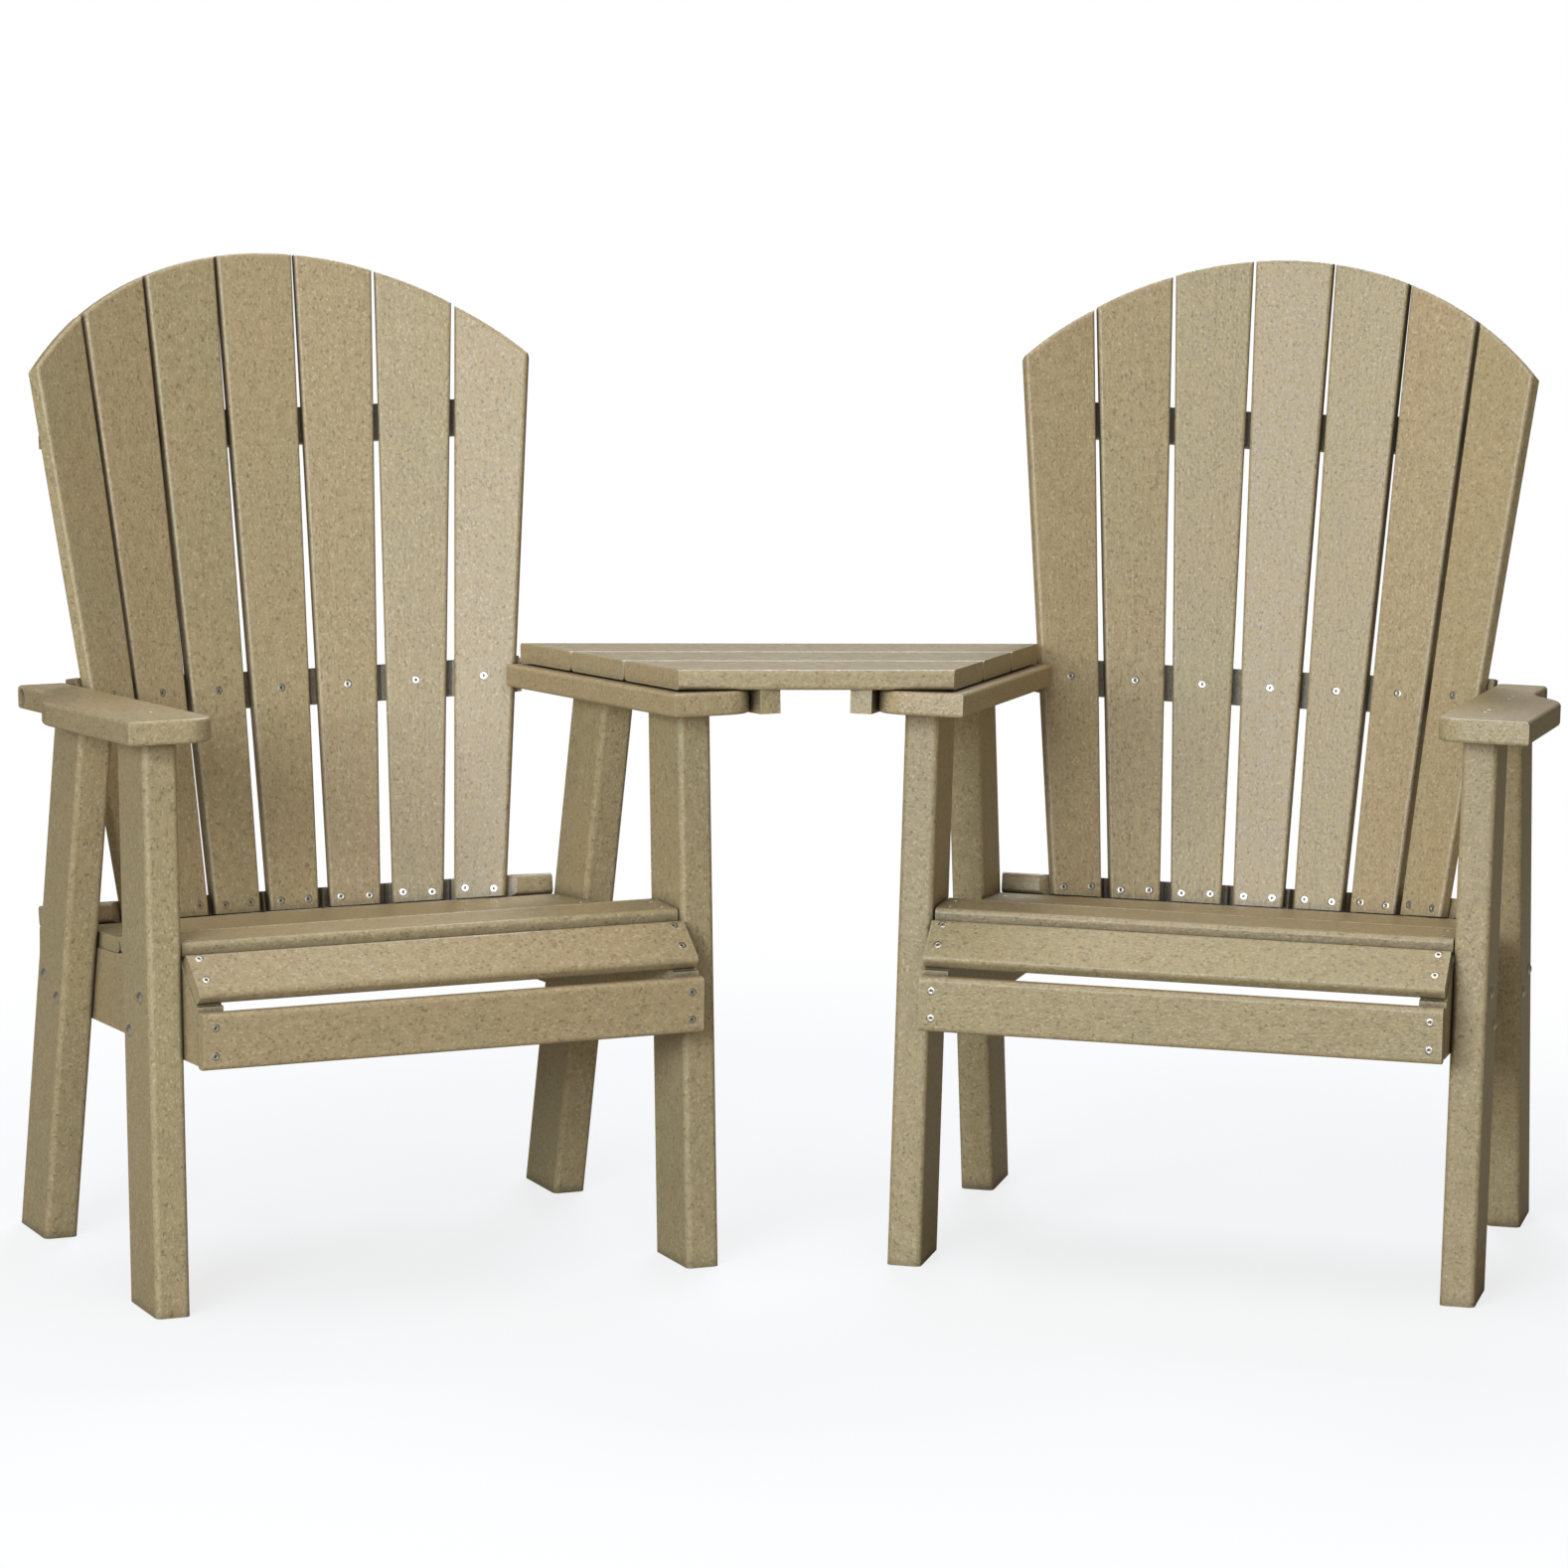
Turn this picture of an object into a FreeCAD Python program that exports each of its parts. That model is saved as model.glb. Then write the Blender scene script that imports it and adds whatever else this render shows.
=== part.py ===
import FreeCAD, Part
import math
import os

# Companion seat bench: two fan-backed garden chairs, turned a little towards each other,
# with a table on their inner arms. Millimetres. The chair is modelled in its own frame:
# x to the right of someone looking at it, y to the rear from the foot of the front legs,
# z up from the floor. The left chair is turned and moved into place, the right one is its
# mirror image. In the finished bench x runs left to right, y to the rear, z up, and the
# origin is on the floor under the middle of the whole bench.

# Placing of the chairs
chair_offset = 398.1  # middle of the bench to the middle of a chair, at the front feet
chair_splay = 19.26  # degrees that each chair is turned towards the other

# Legs
leg_thickness = 38.1
leg_width = 88.9
leg_span = 648.5  # outside of one leg to outside of the other
leg_edge_radius = 6.4
front_leg_lean = 3.9  # degrees to the rear
rear_leg_foot = 381.8  # front of the rear foot, behind the front of the front foot
rear_leg_lean = 12.5  # degrees to the front

# Arms
arm_height = 645.5  # top of the arm above the floor, at the reference point below
arm_reference = -46.0
arm_slope = 4.12  # degrees down to the rear
arm_thickness = 25.4
arm_width = 100.0
arm_edge_radius = 4.0
arm_corner_radius = 36.0  # front corner away from the leg's outer face, on both arms
outer_arm_front = -36.8
outer_arm_overlap = 57.95  # sitter's edge of the arm, inwards from the outside of the leg
outer_arm_rear = 480.2
outer_arm_tail_width = 57.5
outer_arm_tail_radius = 9.0
outer_arm_curve_start = 234.6
outer_arm_curve_length = 142.6
inner_arm_front = -55.2
inner_arm_overlap = 85.95
inner_arm_rear = 507.8
inner_arm_notch_start = 424.0
inner_arm_notch_depth = 24.8

# Seat
seat_board_thickness = 17.5
seat_board_radius = 5.5
seat_end_gap = 1.8  # end of a seat board to the leg beside it
seat_crest_depth = 98.4  # where the rising and the falling part of the seat meet
seat_crest_height = 395.7
seat_rise = 0.5  # degrees, front slat
seat_falls = (12.5, 5.0)  # degrees, the slats behind the crest
front_slat_width = 61.5
rear_slat_width = 139.7
seat_slat_gap = 5.5
end_slat_width = 88.9  # the rearmost slat, which lies under the lower back rail
end_slat_gap = 1.0  # behind it, to the step in the side rail
nosing_width = 58.4
nosing_tilt = 38.5
nosing_gap = 2.0
nosing_drop = 8.5  # top edge of the nosing below the front edge of the front slat

# Side rails and apron
side_rail_thickness = 29.2
side_rail_lead = 6.0  # front of the side rails ahead of the nosing's lower corner
side_rail_slope = 2.74  # degrees down to the rear, lower edge
side_rail_rear = 515.2
apron_height = 60.5
apron_thickness = 17.5
apron_end_gap = 0.9
apron_gap = 4.5  # top of the apron below the nosing's lower corner
apron_drop = 2.9  # below the front lower corner of the side rails

# Back
back_lean = 10.7  # degrees to the rear
back_face = 393.8  # front of the middle slat, square to the leaning back
slats_each_side = 3
slat_thickness = 17.5
slat_radius = 4.0
slat_end_gap = 1.5  # lower ends of the slats above the underside of the lower rail
slat_bottom_width = 58.4
slat_top_width = 87.5
slat_turn = 10.0  # degrees between neighbouring slats
lower_pitch = 71.1
lower_radius = 317.4
lower_level_rise = 11.0  # where the lower pitch holds, above the lower ends of the slats
upper_pitch = 90.3
upper_radius = 570.4
upper_level = 1104.0  # heights along the leaning back, where no other is named
arch_top = 1162.9
arch_radius = 397.0

# Rails across the back
lower_rail_thickness = 23.4
lower_rail_rise = 43.9  # top of the lower rail above the height of the seat's crest
lower_rail_front = 319.5
lower_rail_depth = 128.5
lower_rail_end_gap = 0.6
lower_rail_radius = 5.5
cross_rail_height = 40.9
cross_rail_depth = 36.8
middle_rail_rise = 3.1  # lower edge of the middle rail, above the height of the arms
top_rail_bottom = 946.7
top_rail_end = 28.0  # beyond the middle of the outermost slats

# Table on the inner arms
table_boards = 3
table_board_width = 139.7
table_board_gap = 3.0
table_thickness = 21.8
table_board_radius = 5.0
table_front = 55.2  # behind the front of the feet
table_inset = 16.0  # from the sitter's edge of the arm
cleat_width = 23.4
cleat_height = 26.3
cleat_gap = 0.5

# Fasteners
bolt_diameter = 6.35
bolt_head_diameter = 14.0
bolt_head_height = 3.5
bolt_clearance = 0.3
washer_diameter = 16.0
washer_thickness = 1.6
nut_width = 11.1
nut_height = 5.6
bolt_tip = 3.0
bolt_rise = 24.5  # lower bolts above the lower edge of the side rails
front_bolt_drop = 42.5  # upper bolts below the underside of the seat
rear_bolt_drop = 34.7
front_bolt_insets = (31.0, 68.0)  # upper and lower bolt behind the leg's front edge
rear_bolt_insets = (66.0, 17.5)
screw_head_diameter = 9.0
screw_head_rim = 0.8
screw_cone_height = 2.6
screw_shank_diameter = 4.4
screw_recess_width = 2.8
screw_recess_depth = 1.8
screw_length = 34.0
top_rail_screw_length = 31.0
arm_screw_length = 60.0
cleat_screw_length = 40.0
screw_clearance = 0.15
screw_half_spacing = 16.5
nosing_screw_lift = 6.5  # above the middle of the nosing
counterbore_diameter = 20.0
counterbore_depth = 15.0
rail_counterbore_diameter = 11.0
cleat_counterbore_diameter = 11.0
counterbore_reach = 60.0  # length of the cutting shape, well past the surface

long = 2000.0  # reach of the cutting shapes
touching = 0.05  # running clearance between neighbouring curved or sloping faces

vector = FreeCAD.Vector
right = vector(1, 0, 0)
rearward = vector(0, 1, 0)
up = vector(0, 0, 1)
base = vector(0, 0, 0)

leg_outside = leg_span / 2
leg_inside = leg_outside - leg_thickness
rail_middle = leg_inside - side_rail_thickness / 2
seat_half = leg_inside - seat_end_gap
outer_arm_inside = leg_outside - outer_arm_overlap
inner_arm_inside = leg_outside - inner_arm_overlap
middle_rail_bottom = arm_height + middle_rail_rise
lower_rail_top = seat_crest_height + lower_rail_rise
slat_bottom = lower_rail_top - lower_rail_thickness + slat_end_gap
lower_level = slat_bottom + lower_level_rise


def sine(degrees):
    return math.sin(math.radians(degrees))


def cosine(degrees):
    return math.cos(math.radians(degrees))


def tangent(degrees):
    return math.tan(math.radians(degrees))


# A prism across the chair from an outline of (y, z) points.
def side_view(points, x_from, x_to):
    corners = [vector(x_from, y, z) for y, z in points]
    face = Part.Face(Part.makePolygon(corners + corners[:1]))
    return face.extrude(vector(x_to - x_from, 0, 0))


# A prism upwards from an outline of (x, y) points.
def plan_view(points, z_from, z_to):
    corners = [vector(x, y, z_from) for x, y in points]
    face = Part.Face(Part.makePolygon(corners + corners[:1]))
    return face.extrude(vector(0, 0, z_to - z_from))


# Rounds every straight edge of the shape that runs in one direction.
def round_along(shape, direction, radius):
    edges = []
    for edge in shape.Edges:
        if isinstance(edge.Curve, Part.Line) and abs(edge.tangentAt(0).dot(direction)) > 0.9999:
            edges.append(edge)
    return shape.makeFillet(radius, edges)


def box(x_from, x_to, y_from, y_to, z_from, z_to):
    return Part.makeBox(x_to - x_from, y_to - y_from, z_to - z_from, vector(x_from, y_from, z_from))


def arm_top(y):
    return arm_height - tangent(arm_slope) * (y - arm_reference)


def arm_underside(y):
    return arm_top(y) - arm_thickness / cosine(arm_slope)


# Legs: boards that lean, cut level at the floor and to the slope of the arm at the top

def leg(side, foot, lean):
    inner = side * leg_inside
    outer = side * leg_outside
    board = box(min(inner, outer), max(inner, outer), 0, leg_width, -long, long)
    board = round_along(board, up, leg_edge_radius)
    board.rotate(base, right, -lean)
    board.translate(vector(0, foot, 0))
    under_arm = [(-long, 0), (long, 0), (long, arm_underside(long)), (-long, arm_underside(-long))]
    return board.common(side_view(under_arm, -long, long))


def front_leg(side):
    return leg(side, 0, front_leg_lean)


def rear_leg(side):
    return leg(side, rear_leg_foot, -rear_leg_lean)


def leg_front_edge(foot, lean, z):
    return foot + z * tangent(lean)


# Arms: flat boards cut to shape, laid on the sloping tops of the legs

# Takes a board whose top is at z = 0 to the slope and height of the arms.
def lay_on_legs(board):
    board.rotate(base, right, -arm_slope)
    board.translate(vector(0, 0, arm_top(0)))
    return board


def arm_board(edges):
    face = Part.Face(Part.Wire(edges))
    board = face.extrude(vector(0, 0, -arm_thickness))
    rims = []
    for edge in board.Edges:
        if edge.BoundBox.ZLength < touching:
            rims.append(edge)
    return board.makeFillet(arm_edge_radius, rims)


def line(a, b):
    return Part.makeLine(vector(a[0], a[1], 0), vector(b[0], b[1], 0))


def arc(a, middle, b):
    return Part.Arc(vector(*a, 0), vector(*middle, 0), vector(*b, 0)).toShape()


# The arc of a rounded corner, from one angle to the other in degrees.
def corner_arc(centre, radius, start, end):
    points = []
    for angle in (start, (start + end) / 2, end):
        points.append((centre[0] + radius * cosine(angle), centre[1] + radius * sine(angle)))
    return arc(points[0], points[1], points[2])


def outer_arm(side):
    inside = outer_arm_inside
    tail = inside + outer_arm_tail_width
    tail_radius = outer_arm_tail_radius
    outside = inside + arm_width
    front = outer_arm_front
    curve_end = outer_arm_curve_start + outer_arm_curve_length
    curve_middle = (outer_arm_curve_start + curve_end) / 2
    sweep = outside - tail
    curve_radius = (outer_arm_curve_length ** 2 + sweep ** 2) / (4 * sweep)
    half_turn = math.degrees(math.asin(outer_arm_curve_length / 2 / curve_radius)) / 2
    bulge_x = curve_radius * (1 - cosine(half_turn))
    bulge_y = curve_radius * sine(half_turn)
    shoulder = (outside, outer_arm_curve_start)
    waist = ((outside + tail) / 2, curve_middle)
    round_centre = (inside + arm_corner_radius, front + arm_corner_radius)
    end_round = outer_arm_rear - tail_radius
    edges = [
        corner_arc(round_centre, arm_corner_radius, 180, 270),
        line((round_centre[0], front), (outside, front)),
        line((outside, front), shoulder),
        arc(shoulder, (outside - bulge_x, outer_arm_curve_start + bulge_y), waist),
        arc(waist, (tail + bulge_x, curve_end - bulge_y), (tail, curve_end)),
        line((tail, curve_end), (tail, end_round)),
        corner_arc((tail - tail_radius, end_round), tail_radius, 0, 90),
        line((tail - tail_radius, outer_arm_rear), (inside + tail_radius, outer_arm_rear)),
        corner_arc((inside + tail_radius, end_round), tail_radius, 90, 180),
        line((inside, end_round), (inside, round_centre[1])),
    ]
    return on_side(lay_on_legs(arm_board(edges)), side)


def inner_arm(side):
    inside = inner_arm_inside
    notch = inside + inner_arm_notch_depth
    outside = inside + arm_width
    front = inner_arm_front
    round_centre = (outside - arm_corner_radius, front + arm_corner_radius)
    edges = [
        line((inside, front), (round_centre[0], front)),
        corner_arc(round_centre, arm_corner_radius, 270, 360),
        line((outside, round_centre[1]), (outside, inner_arm_rear)),
        line((outside, inner_arm_rear), (notch, inner_arm_rear)),
        line((notch, inner_arm_rear), (notch, inner_arm_notch_start)),
        line((notch, inner_arm_notch_start), (inside, inner_arm_notch_start)),
        line((inside, inner_arm_notch_start), (inside, front)),
    ]
    return on_side(lay_on_legs(arm_board(edges)), side)


# Keeps a shape made for the right of the chair there, or mirrors it to the left.
def on_side(shape, side):
    if side < 0:
        return shape.mirror(base, right)
    return shape


# Seat: slats in front of and behind a crest, in a shallow hollow, and a tilted nosing in front

# The (y, z) point at a distance from start, on a line that rises at the angle.
def along(start, angle, distance):
    return (start[0] + distance * cosine(angle), start[1] + distance * sine(angle))


# The (y, z) point where two sloping lines cross.
def meet(first, first_angle, second, second_angle):
    first_slope = tangent(first_angle)
    second_slope = tangent(second_angle)
    level = second[1] - first[1] + first_slope * first[0] - second_slope * second[0]
    y = level / (first_slope - second_slope)
    return (y, first[1] + first_slope * (y - first[0]))


# The height at a depth y on a sloping line.
def height_on(start, angle, y):
    return start[1] + tangent(angle) * (y - start[0])


# A board across the chair, from its top front edge and its slope.
def seat_board(top_front, angle, width):
    board = box(-seat_half, seat_half, 0, width, -seat_board_thickness, 0)
    board = round_along(board, right, seat_board_radius)
    board.rotate(base, right, angle)
    board.translate(vector(0, top_front[0], top_front[1]))
    return board


seat_crest = (seat_crest_depth, seat_crest_height)
front_slat_edge = along(seat_crest, seat_rise, -seat_slat_gap / 2 - front_slat_width)
front_slat_under = along(front_slat_edge, seat_rise - 90, seat_board_thickness)
nosing_top = (
    front_slat_edge[0] - nosing_gap - seat_board_thickness * sine(nosing_tilt),
    front_slat_edge[1] - nosing_drop,
)
nosing_front = along(nosing_top, nosing_tilt, -nosing_width)
nosing_under = along(nosing_front, nosing_tilt - 90, seat_board_thickness)


# From the frame of the leaning back to the (y, z) of the chair.
def from_back(y, z):
    return (y * cosine(back_lean) + z * sine(back_lean), z * cosine(back_lean) - y * sine(back_lean))


# The front lower edge of the lower back rail
bearing = from_back(lower_rail_front, lower_rail_top - lower_rail_thickness)


# Every seat slat as its top front edge, its slope and its width. The last one has its top
# in the plane of the lower back rail's underside.
def seat_slat_lines():
    slats = [(front_slat_edge, seat_rise, front_slat_width)]
    front = along(seat_crest, -seat_falls[0], seat_slat_gap / 2)
    for fall in seat_falls:
        slats.append((front, -fall, rear_slat_width))
        front = along(front, -fall, rear_slat_width + seat_slat_gap)
    end_front = (front[0], height_on(bearing, -back_lean, front[0]))
    slats.append((end_front, -back_lean, end_slat_width))
    return slats


def nosing():
    return seat_board(nosing_front, nosing_tilt, nosing_width)


# Side rails: their upper edge follows the undersides of the seat slats and of the lower back
# rail, and their lower edge starts just above the lower edge of the apron

side_rail_front = nosing_under[0] - side_rail_lead
apron_top = nosing_under[1] - apron_gap
apron_bottom = apron_top - apron_height
side_rail_corner = (side_rail_front, apron_bottom + apron_drop)


# The (y, z) point on the underside of a seat slat, at a distance from its front edge
def slat_under(slat, distance):
    front, angle, width = slat
    return along(along(front, angle, distance), angle - 90, seat_board_thickness)


def side_rail(side):
    slats = seat_slat_lines()
    corners = []
    before = (nosing_under, nosing_tilt)
    for slat in slats:
        here = (slat_under(slat, 0), slat[1])
        corners.append(meet(*before, *here))
        before = here
    step = end_slat_width + end_slat_gap
    outline = [
        side_rail_corner,
        (side_rail_front, nosing_under[1]),
        nosing_under,
        *corners,
        slat_under(slats[-1], step),
        along(slats[-1][0], -back_lean, step),
        (side_rail_rear, height_on(bearing, -back_lean, side_rail_rear)),
        (side_rail_rear, height_on(side_rail_corner, -side_rail_slope, side_rail_rear)),
    ]
    inner = side * (leg_inside - side_rail_thickness)
    outer = side * leg_inside
    return side_view(outline, min(inner, outer), max(inner, outer))


def apron():
    half = leg_inside - apron_end_gap
    front = side_rail_front - apron_thickness
    board = box(-half, half, front, side_rail_front, apron_bottom, apron_top)
    return round_along(board, right, seat_board_radius)


# Back: tapered slats on three curved rails, made upright and then leant back as one

def lean_back(shape):
    shape.rotate(base, right, -back_lean)
    return shape


# Where the middle of a slat's front face is on an arc across the back.
def arc_point(index, pitch, radius):
    angle = math.degrees(index * pitch / radius)
    return (radius * sine(angle), back_face - radius * (1 - cosine(angle)))


# The slat's own directions: across it, out of its rear face and along it, and its origin.
def slat_frame(index):
    low = arc_point(index, lower_pitch, lower_radius)
    high = arc_point(index, upper_pitch, upper_radius)
    lengthwise = vector(high[0] - low[0], high[1] - low[1], upper_level - lower_level)
    lengthwise.normalize()
    across = vector(cosine(index * slat_turn), -sine(index * slat_turn), 0)
    across = across - lengthwise * across.dot(lengthwise)
    across.normalize()
    outward = lengthwise.cross(across)
    start = vector(low[0], low[1], lower_level)
    return across, outward, lengthwise, start


def in_slat_frame(shape, index):
    across, outward, lengthwise, start = slat_frame(index)
    frame = FreeCAD.Matrix(
        across.x, outward.x, lengthwise.x, start.x,
        across.y, outward.y, lengthwise.y, start.y,
        across.z, outward.z, lengthwise.z, start.z,
        0, 0, 0, 1)
    shape.transformShape(frame)
    return shape


# A tapered board in its own frame: front face at y = 0, widened on both sides by the given
# amounts, from one depth to another, with spare length at both ends
def tapered_board(widen_left, widen_right, depth_from, depth_to):
    spare = slat_thickness
    height = arch_top - slat_bottom + 2 * spare
    growth = (slat_top_width - slat_bottom_width) / (upper_level - slat_bottom)
    low = slat_bottom - lower_level - spare
    low_half = (slat_bottom_width - growth * spare) / 2
    high_half = low_half + growth * height / 2
    corners = [
        vector(-low_half - widen_left, depth_from, low),
        vector(low_half + widen_right, depth_from, low),
        vector(high_half + widen_right, depth_from, low + height),
        vector(-high_half - widen_left, depth_from, low + height),
    ]
    face = Part.Face(Part.makePolygon(corners + corners[:1]))
    return face.extrude(vector(0, depth_to - depth_from, 0))


# What is cut off the slats above the rounded top of the back
def above_arch():
    centre_height = arch_top - arch_radius
    block = box(-long, long, -long, long, centre_height, long)
    disc = Part.makeCylinder(arch_radius, 2 * long, vector(0, -long, centre_height), rearward)
    return block.cut(disc)


def back_slat(index):
    slat = in_slat_frame(tapered_board(0, 0, 0, slat_thickness), index)
    slat = slat.cut(above_arch())
    slat = slat.cut(box(-long, long, -long, long, -long, slat_bottom))
    across, outward, lengthwise, start = slat_frame(index)
    rims = []
    for edge in slat.Edges:
        middle = edge.valueAt((edge.FirstParameter + edge.LastParameter) / 2)
        tangent_here = edge.tangentAt((edge.FirstParameter + edge.LastParameter) / 2)
        at_bottom = middle.z < lower_level
        if abs(tangent_here.dot(outward)) < 0.5 and not at_bottom:
            rims.append(edge)
    return slat.makeFillet(slat_radius, rims)


# The space in front of a slat's rear face, up to the middle of the gaps beside the slat
def slat_seat(index, end_margin):
    gap = (lower_pitch - slat_bottom_width) / 2
    left = gap
    right_side = gap
    if index == -slats_each_side:
        left = end_margin
    if index == slats_each_side:
        right_side = end_margin
    return in_slat_frame(tapered_board(left, right_side, -long, slat_thickness), index)


def fit_to_slats(rail, end_margin):
    for index in range(-slats_each_side, slats_each_side + 1):
        rail = rail.cut(slat_seat(index, end_margin))
    return rail


def lower_back_rail():
    front = lower_rail_front
    bottom = lower_rail_top - lower_rail_thickness
    half = leg_inside - lower_rail_end_gap
    board = box(-half, half, front, front + lower_rail_depth, bottom, lower_rail_top)
    board = round_along(board, right, lower_rail_radius)
    end_margin = lower_pitch - slat_bottom_width
    return fit_to_slats(board, end_margin)


# Where the middle of the outermost slat's front face is at a level
def outer_slat_middle(level):
    share = (level - lower_level) / (upper_level - lower_level)
    low = arc_point(slats_each_side, lower_pitch, lower_radius)
    high = arc_point(slats_each_side, upper_pitch, upper_radius)
    return (low[0] + share * (high[0] - low[0]), low[1] + share * (high[1] - low[1]))


# Depth of the rear face of the outermost slat, carried on to a place beside it
def outer_slat_rear(x, level):
    middle_x, middle_y = outer_slat_middle(level)
    turn = slats_each_side * slat_turn
    return middle_y - (x - middle_x) * tangent(turn) + slat_thickness / cosine(turn)


def cross_rail(left_end, right_end, bottom):
    half = max(left_end, right_end)
    level = bottom + cross_rail_height / 2
    end_rear = outer_slat_rear(half, level) + cross_rail_depth
    middle_rear = back_face + slat_thickness + cross_rail_depth
    front = end_rear - 2 * cross_rail_depth
    rear_curve = arc((half, end_rear), (0, middle_rear), (-half, end_rear))
    edges = [
        rear_curve,
        line((-half, end_rear), (-half, front)),
        line((-half, front), (half, front)),
        line((half, front), (half, end_rear)),
    ]
    face = Part.Face(Part.Wire(edges))
    rail = face.extrude(vector(0, 0, cross_rail_height))
    rail.translate(vector(0, 0, bottom))
    rail = fit_to_slats(rail, long)
    return rail.common(box(-left_end, right_end, -long, long, 0, long))


# The outer arm is on the left of the left chair
def middle_rail():
    return cross_rail(outer_arm_inside, inner_arm_inside + inner_arm_notch_depth, middle_rail_bottom)


def top_rail():
    half = outer_slat_middle(top_rail_bottom + cross_rail_height / 2)[0] + top_rail_end
    return cross_rail(half, half, top_rail_bottom)


# Fasteners: made upright with the seat of the head at z = 0 and the shank downwards

def wood_screw(length, clearance, recess):
    head = screw_head_diameter / 2 + clearance
    shank = screw_shank_diameter / 2 + clearance
    tip = length + clearance
    outline = [
        (0, 0),
        (head, 0),
        (head, -screw_head_rim),
        (shank, -screw_head_rim - screw_cone_height),
        (shank, -tip + shank),
        (0, -tip),
    ]
    corners = [vector(x, 0, z) for x, z in outline]
    face = Part.Face(Part.makePolygon(corners + corners[:1]))
    screw = face.revolve(base, up, 360)
    if recess:
        half = screw_recess_width / 2
        screw = screw.cut(box(-half, half, -half, half, -screw_recess_depth, 1))
    return screw


def carriage_bolt(length):
    cap_radius = (bolt_head_diameter ** 2 / 4 + bolt_head_height ** 2) / (2 * bolt_head_height)
    ball = Part.makeSphere(cap_radius, vector(0, 0, bolt_head_height - cap_radius))
    cap = ball.common(box(-long, long, -long, long, 0, long))
    shank = Part.makeCylinder(bolt_diameter / 2, length, vector(0, 0, -length), up)
    return cap.fuse(shank).removeSplitter()


def washer():
    ring = Part.makeCylinder(washer_diameter / 2, washer_thickness)
    bore = Part.makeCylinder(bolt_diameter / 2 + bolt_clearance, washer_thickness)
    return ring.cut(bore)


def nut():
    corners = []
    for corner in range(7):
        angle = corner * 60
        reach = nut_width / 2 / cosine(30)
        corners.append(vector(reach * cosine(angle), reach * sine(angle), 0))
    block = Part.Face(Part.makePolygon(corners)).extrude(vector(0, 0, nut_height))
    bore = Part.makeCylinder(bolt_diameter / 2 + touching, nut_height)
    return block.cut(bore)


# Turns a shape made upright so that its upward direction points along the given one
def point_along(shape, position, direction):
    turn = FreeCAD.Rotation(up, direction)
    shape.Placement = FreeCAD.Placement(position, turn)
    return shape


# Where every screw of a chair goes: the middle of its head and the direction that faces

def seat_screw_places():
    places = []
    raised = along(nosing_front, nosing_tilt, nosing_screw_lift)
    boards = [(raised, nosing_tilt, nosing_width)] + seat_slat_lines()
    for side in (-1, 1):
        for start, angle, width in boards:
            direction = vector(0, -sine(angle), cosine(angle))
            for share in (0.25, 0.75):
                y, z = along(start, angle, share * width)
                places.append((vector(side * rail_middle, y, z), direction))
        for share in (0.25, 0.75):
            z = apron_bottom + share * apron_height
            place = vector(side * rail_middle, side_rail_front - apron_thickness, z)
            places.append((place, rearward * -1))
    return places


def on_slat(index, across_offset, depth, level):
    across, outward, lengthwise, start = slat_frame(index)
    up_slat = lengthwise * ((level - lower_level) / lengthwise.z)
    return start + up_slat + across * across_offset + outward * depth


def back_to_chair(direction):
    return vector(direction.x, *from_back(direction.y, direction.z))


def back_screw_places():
    places = []
    lower = lower_rail_top - lower_rail_thickness / 2
    middle = middle_rail_bottom + cross_rail_height / 2
    for index in range(-slats_each_side, slats_each_side + 1):
        outward = slat_frame(index)[1]
        direction = back_to_chair(outward * -1)
        spots = [(-screw_half_spacing, lower), (screw_half_spacing, lower), (0, middle)]
        for across_offset, level in spots:
            places.append((back_to_chair(on_slat(index, across_offset, 0, level)), direction))
    return places


# The top rail is held by screws from behind, in counterbores
def top_screw_places():
    places = []
    level = top_rail_bottom + cross_rail_height / 2
    depth = slat_thickness + cross_rail_depth / 2
    for index in range(-slats_each_side, slats_each_side + 1):
        outward = slat_frame(index)[1]
        places.append((back_to_chair(on_slat(index, 0, depth, level)), back_to_chair(outward)))
    return places


def arm_screw_places():
    places = []
    direction = vector(0, sine(arm_slope), cosine(arm_slope))
    over_leg = leg_outside - leg_thickness / 2
    for foot, lean in ((0, front_leg_lean), (rear_leg_foot, -rear_leg_lean)):
        edge = leg_front_edge(foot, lean, arm_height - arm_thickness)
        for offset in (-screw_half_spacing, screw_half_spacing):
            y = edge + leg_width / 2 + offset
            for side in (-1, 1):
                places.append((vector(side * over_leg, y, arm_top(y)), direction))
    return places


# One screw through the tail of the outer arm into the end of the middle rail
def rail_end_screw_place():
    end_rear = outer_slat_rear(outer_arm_inside, middle_rail_bottom + cross_rail_height / 2)
    level = middle_rail_bottom + cross_rail_height / 2
    y = from_back(end_rear + cross_rail_depth / 2, level)[0]
    z = arm_top(y) - arm_thickness / 2
    x = -outer_arm_inside - outer_arm_tail_width + counterbore_depth
    return vector(x, y, z), vector(-1, 0, 0)


# The bolts go through the leg and the side rail, two at each leg: the upper one at a level
# below the seat, the lower one on a line along the lower edge of the rail
def bolt_places():
    above_rail_edge = (side_rail_front, side_rail_corner[1] + bolt_rise)
    front_level = (0, front_slat_under[1] - front_bolt_drop)
    rear_level = (0, slat_under(seat_slat_lines()[-2], rear_slat_width)[1] - rear_bolt_drop)
    places = []
    for side in (-1, 1):
        for foot, lean, insets, level in (
            (0, front_leg_lean, front_bolt_insets, front_level),
            (rear_leg_foot, -rear_leg_lean, rear_bolt_insets, rear_level),
        ):
            y, z = meet((foot + insets[0], 0), 90 - lean, level, 0)
            places.append(vector(side * leg_outside, y, z))
            y, z = meet((foot + insets[1], 0), 90 - lean, above_rail_edge, -side_rail_slope)
            places.append(vector(side * leg_outside, y, z))
    return places


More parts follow.
